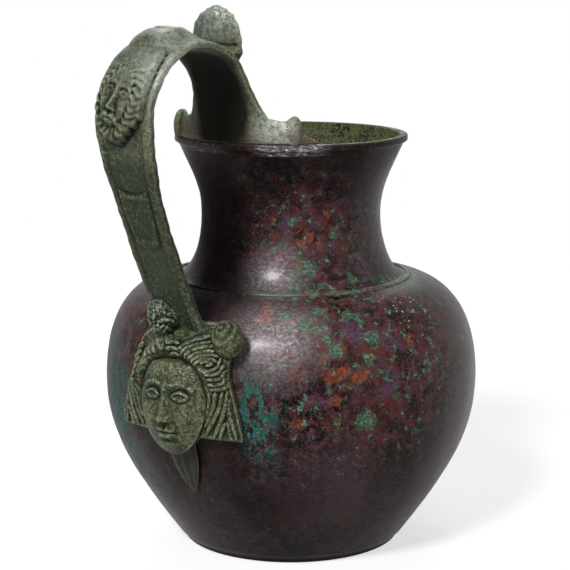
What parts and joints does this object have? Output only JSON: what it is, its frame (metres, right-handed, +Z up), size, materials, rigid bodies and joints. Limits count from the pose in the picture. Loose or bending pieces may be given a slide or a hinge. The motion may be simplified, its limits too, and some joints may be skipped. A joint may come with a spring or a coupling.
{
  "type": "bronze jug",
  "caption": "Bellied bronze jug with a flared neck, a soldered base and a tall cast strap handle that grips the rim and ends in a mask",
  "frame": {"origin": "middle of the foot on the jug's axis, at the surface that it stands on", "axes": "+Z up along the vessel's axis; the handle points along -X; +Y completes a right-handed frame"},
  "size_m": [0.1712, 0.14, 0.2015],
  "materials": {
    "vessel_bronze": "glossy dark purple-brown patina with red and green spots",
    "base_bronze": "turned, dark brown patina with green in the grooves",
    "handle_bronze": "granular grey-green patina with worn highs",
    "solder": "dull grey-brown corroded solder"
  },
  "bodies": {
    "root": {"vessel": "vessel_bronze", "base_disc": "base_bronze", "base_solder": "solder", "handle": "handle_bronze", "rim_solder": "solder", "mask_solder": "solder"}
  },
  "joints": []
}
